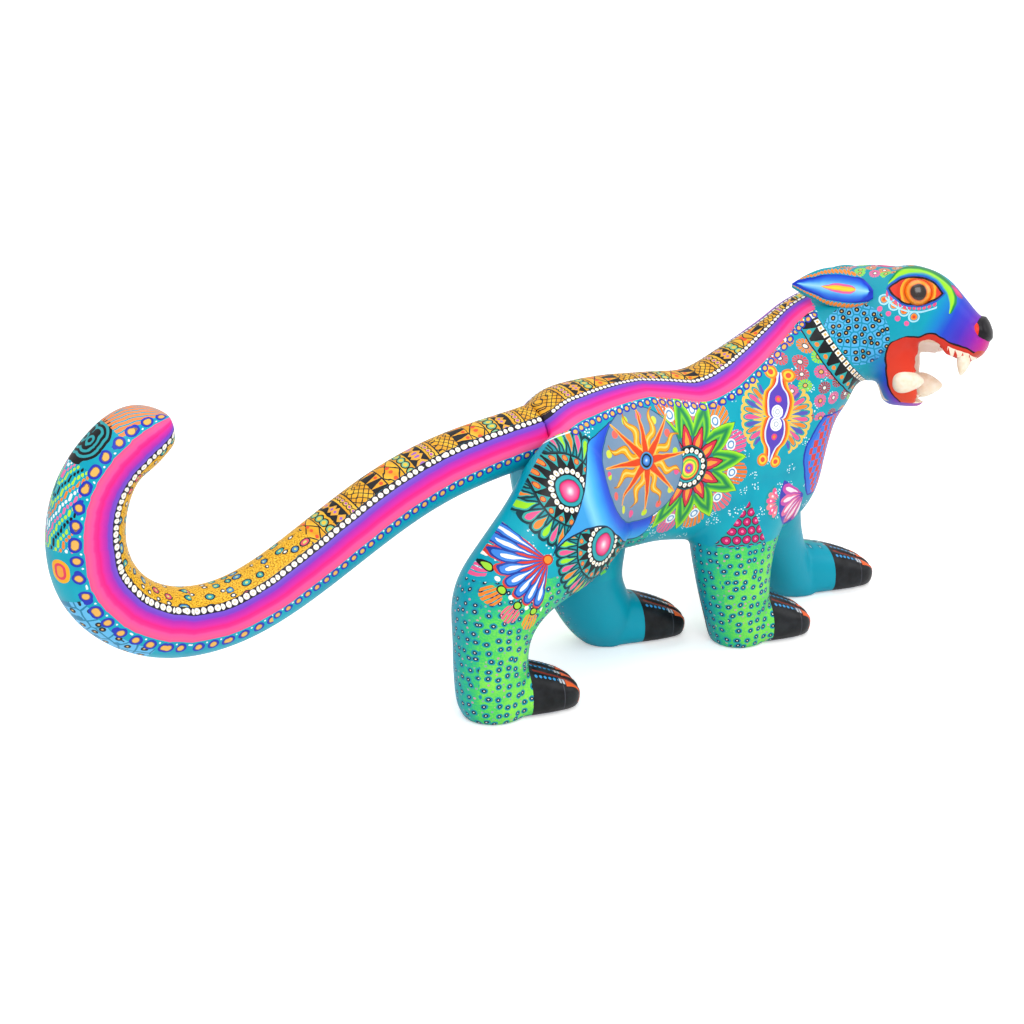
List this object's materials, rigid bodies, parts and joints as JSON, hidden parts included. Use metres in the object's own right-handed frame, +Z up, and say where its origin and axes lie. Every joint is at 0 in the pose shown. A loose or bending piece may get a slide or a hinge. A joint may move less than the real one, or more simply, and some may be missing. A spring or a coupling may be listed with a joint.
{
  "type": "alebrije figure",
  "caption": "Carved and painted wooden walking big cat with open jaws, laid-back ears and a long curled tail that plugs into the rump on a peg.",
  "frame": {"origin": "on the ground, at the middle of the right front sole", "axes": "+X the way the body faces, +Y the figure's left, +Z up"},
  "size_m": [0.4504, 0.1053, 0.1828],
  "materials": {
    "painted_wood": "satin acrylic paint, hand-dotted",
    "bare_wood": "sanded, unpainted",
    "glossy_eye": "gloss varnish",
    "ivory_paint": "satin acrylic paint",
    "red_paint": "satin acrylic paint"
  },
  "bodies": {
    "figure": {"body": "painted_wood", "ear_right": "painted_wood", "ear_left": "painted_wood", "eye_right": "glossy_eye", "eye_left": "glossy_eye", "upper_fang_right": "ivory_paint", "upper_fang_left": "ivory_paint", "lower_fang_right": "ivory_paint", "lower_fang_left": "ivory_paint", "tongue": "red_paint"},
    "peg": {"tail_peg": "bare_wood"},
    "tail": {"tail": "painted_wood"}
  },
  "joints": [
    {"name": "tail_pull", "type": "slide", "parent": "figure", "child": "peg", "axis": [-0.9877, 0, -0.1564], "range_m": [0, 0.028]},
    {"name": "tail_turn", "type": "hinge", "parent": "peg", "child": "tail", "pos_m": [-0.111, 0.012, 0.1195], "axis": [-0.9877, 0, -0.1564], "range_deg": [-40, 40]}
  ]
}
